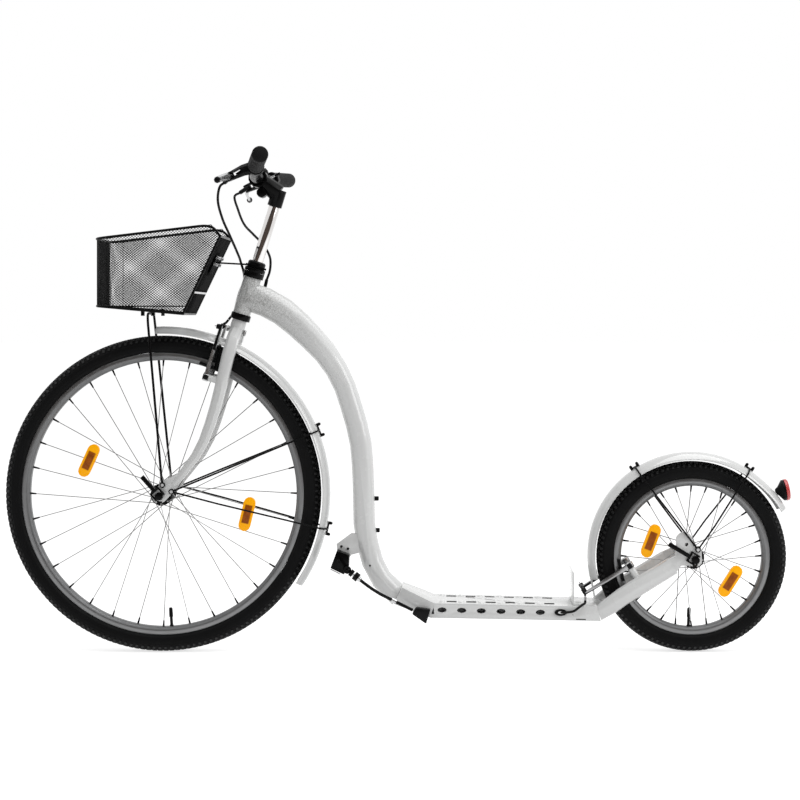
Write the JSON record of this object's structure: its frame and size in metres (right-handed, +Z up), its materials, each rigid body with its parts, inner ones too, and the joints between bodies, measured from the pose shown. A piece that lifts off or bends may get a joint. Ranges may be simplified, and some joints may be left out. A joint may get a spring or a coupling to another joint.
{
  "type": "kick bike",
  "caption": "Kick bike with a large spoked front wheel, a small rear wheel, a low deck, V-brakes, fenders and a mesh basket; it steers, rolls, brakes and folds its stand.",
  "frame": {"origin": "on the ground under the middle of the bike's overall length and width", "axes": "+X towards the rear wheel, -Y to the rider's left, +Z up"},
  "size_m": [1.5867, 0.618, 0.992],
  "materials": {
    "white_paint": "gloss white enamel",
    "white_plastic": "satin white moulding",
    "black_paint": "satin black",
    "black_plastic": "matt black",
    "tyre": "black rubber",
    "grip": "dark grey rubber",
    "cable": "black cable sheath",
    "rim_alloy": "brushed grey alloy",
    "steel": "bright steel",
    "alloy": "polished alloy",
    "chrome": "mirror chrome",
    "amber": "amber prismatic plastic",
    "red": "red lens plastic"
  },
  "bodies": {
    "frame": {"main_tube": "white_paint", "deck": "white_paint", "rear_stay_left": "white_paint", "rear_stay_right": "white_paint", "heel_guard": "white_paint", "kickstand_head": "black_paint", "rear_fender": "white_plastic", "rear_fender_stays": "black_paint", "tail_light_housing": "black_plastic", "tail_light_lens": "red", "rear_axle": "black_paint", "cable_grommet": "cable", "rear_brake_cable_lower": "cable", "headset_lower_cup": "black_paint", "headset_upper_cup": "black_paint"},
    "steering": {"fork": "white_paint", "headset_locknut": "black_paint", "quill_post": "chrome", "stem": "black_paint", "handlebar": "black_paint", "grip_left": "grip", "grip_right": "grip", "brake_bracket_left": "black_plastic", "brake_bracket_right": "black_plastic", "bell": "black_plastic", "front_fender": "white_plastic", "front_fender_bracket": "steel", "front_fender_stays": "black_paint", "basket": "black_paint", "basket_bracket": "steel", "basket_strut": "black_paint", "front_axle": "black_paint", "front_brake_cable": "cable", "rear_brake_cable_upper": "cable"},
    "front_wheel": {"front_tyre": "tyre", "front_rim": "rim_alloy", "front_hub_and_spokes": "steel", "front_reflector_1": "amber", "front_reflector_2": "amber"},
    "front_arm_left": {"front_brake_arm_left": "alloy"},
    "front_arm_right": {"front_brake_arm_right": "alloy"},
    "front_skewer_lever": {"front_quick_release": "black_paint"},
    "rear_wheel": {"rear_tyre": "tyre", "rear_rim": "rim_alloy", "rear_hub_and_spokes": "steel", "rear_reflector_1": "amber", "rear_reflector_2": "amber"},
    "rear_arm_left": {"rear_brake_arm_left": "alloy"},
    "rear_arm_right": {"rear_brake_arm_right": "alloy"},
    "rear_skewer_lever": {"rear_quick_release": "black_paint"},
    "lever_left": {"brake_lever_left": "alloy"},
    "lever_right": {"brake_lever_right": "alloy"},
    "stand_leg": {"kickstand_leg": "black_paint"},
    "striker": {"bell_striker": "black_plastic"}
  },
  "joints": [
    {"name": "steering", "type": "hinge", "parent": "frame", "child": "steering", "pos_m": [-0.31949, 0, 0.67464], "axis": [0.2924, 0, 0.9563], "range_deg": [-50, 50], "deforming": ["rear_brake_cable_upper"]},
    {"name": "front_wheel_spin", "type": "hinge", "parent": "steering", "child": "front_wheel", "pos_m": [-0.47475, 0, 0.319], "axis": [0, 1, 0], "continuous": true},
    {"name": "rear_wheel_spin", "type": "hinge", "parent": "frame", "child": "rear_wheel", "pos_m": [0.59325, 0, 0.192], "axis": [0, 1, 0], "continuous": true},
    {"name": "lever_left", "type": "hinge", "parent": "steering", "child": "lever_left", "pos_m": [-0.32005, -0.152, 0.94878], "axis": [-0.4651, 0, 0.8852], "range_deg": [0, 22], "stiffness_Nm_per_rad": 0.6, "springref_deg": -17.19},
    {"name": "lever_right", "type": "hinge", "parent": "steering", "child": "lever_right", "pos_m": [-0.32005, 0.152, 0.94878], "axis": [0.4651, 0, -0.8852], "range_deg": [0, 22], "stiffness_Nm_per_rad": 0.6, "springref_deg": -17.19},
    {"name": "front_arm_left", "type": "hinge", "parent": "steering", "child": "front_arm_left", "pos_m": [-0.37941, -0.036, 0.55389], "axis": [-0.9563, 0, 0.2924], "range_deg": [0, 3.1]},
    {"name": "rear_arm_left", "type": "hinge", "parent": "frame", "child": "rear_arm_left", "pos_m": [0.46765, -0.036, 0.17279], "axis": [0.5294, 0, -0.8484], "range_deg": [0, 3.1]},
    {"name": "front_arm_right", "type": "hinge", "parent": "steering", "child": "front_arm_right", "pos_m": [-0.37941, 0.036, 0.55389], "axis": [0.9563, 0, -0.2924], "range_deg": [0, 3.1]},
    {"name": "rear_arm_right", "type": "hinge", "parent": "frame", "child": "rear_arm_right", "pos_m": [0.46765, 0.036, 0.17279], "axis": [-0.5294, 0, 0.8484], "range_deg": [0, 3.1]},
    {"name": "stand_fold", "type": "hinge", "parent": "frame", "child": "stand_leg", "pos_m": [-0.101, -0.0465, 0.1705], "axis": [-0.28, 0.96, 0], "range_deg": [0, 72]},
    {"name": "front_skewer_lever", "type": "hinge", "parent": "steering", "child": "front_skewer_lever", "pos_m": [-0.47475, -0.0611, 0.319], "axis": [0.7547, 0, 0.6561], "range_deg": [0, 170]},
    {"name": "rear_skewer_lever", "type": "hinge", "parent": "frame", "child": "rear_skewer_lever", "pos_m": [0.59325, -0.0611, 0.192], "axis": [0.515, 0, 0.8572], "range_deg": [0, 170]},
    {"name": "bell_striker", "type": "hinge", "parent": "steering", "child": "striker", "pos_m": [-0.28092, 0.081, 0.95736], "axis": [0.094, 0.9929, 0.073], "range_deg": [-12, 12], "stiffness_Nm_per_rad": 0.02}
  ],
  "couplings": [
    {"joint": "front_arm_left", "follows": "lever_left", "ratio": 0.136},
    {"joint": "rear_arm_left", "follows": "lever_right", "ratio": 0.136},
    {"joint": "front_arm_right", "follows": "lever_left", "ratio": 0.136},
    {"joint": "rear_arm_right", "follows": "lever_right", "ratio": 0.136}
  ]
}
